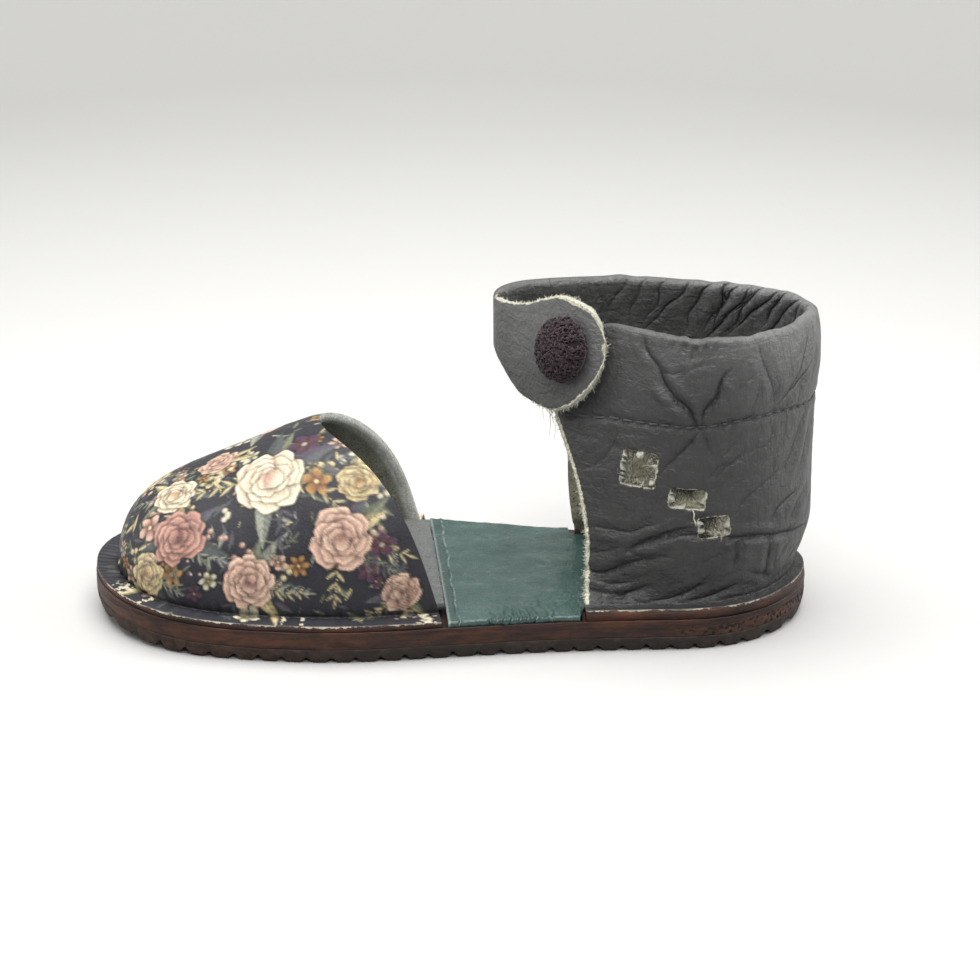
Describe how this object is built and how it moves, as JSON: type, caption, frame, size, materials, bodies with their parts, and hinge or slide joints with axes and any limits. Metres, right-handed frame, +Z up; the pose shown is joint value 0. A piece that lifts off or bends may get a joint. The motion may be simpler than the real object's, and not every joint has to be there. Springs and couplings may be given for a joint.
{
  "type": "closed-toe toddler sandal",
  "caption": "Toddler's handmade leather sandal for the left foot: closed floral toe, open waist, grey heel and ankle wrap with a buttoned strap, notched rubber sole.",
  "frame": {"origin": "on the ground under the middle of the box round the shoe", "axes": "+X towards the heel, -Y towards the outer (lateral) side with the button, +Z up"},
  "size_m": [0.1354, 0.057, 0.0632],
  "materials": {
    "outsole": "matt",
    "midsole": "burnished edge",
    "insole_front": "felt",
    "insole_rear": "satin",
    "vamp": "printed satin",
    "quarter": "soft satin",
    "button": "looped yarn"
  },
  "bodies": {
    "root": {"outsole": "outsole", "midsole": "midsole", "insole_front": "insole_front", "insole_rear": "insole_rear", "vamp": "vamp", "quarter": "quarter", "button": "button"}
  },
  "joints": []
}
